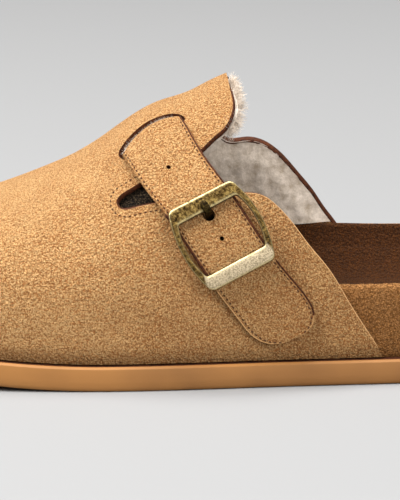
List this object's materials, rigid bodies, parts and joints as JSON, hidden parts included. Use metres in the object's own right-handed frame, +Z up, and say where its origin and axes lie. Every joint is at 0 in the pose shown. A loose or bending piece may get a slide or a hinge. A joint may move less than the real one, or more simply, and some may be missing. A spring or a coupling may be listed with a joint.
{
  "type": "clog slipper",
  "caption": "Closed-toe, open-heel clog slipper for the left foot, with a hollow suede upper, a buckled instep strap, a contoured footbed and a flat rubber outsole.",
  "frame": {"origin": "on the floor under the middle of the shoe's length and width", "axes": "-X towards the toe, +X towards the heel, -Y the outer side with the buckle, +Y the inner side, +Z up"},
  "size_m": [0.2578, 0.0992, 0.0891],
  "materials": {
    "sole_rubber": "smooth matt caramel rubber foam",
    "footbed_suede": "tan suede wrapped over a moulded core",
    "insole_suede": "brown suede sock",
    "upper_suede": "tan suede, napped, with dark cut edges",
    "strap_suede": "tan suede, napped, with dark cut edges",
    "buckle_brass": "antiqued, brushed and mottled",
    "prong_brass": "antiqued"
  },
  "bodies": {
    "root": {"outsole": "sole_rubber", "footbed": "footbed_suede", "insole": "insole_suede", "upper": "upper_suede", "strap": "strap_suede", "buckle_frame": "buckle_brass", "buckle_prong": "prong_brass"}
  },
  "joints": []
}
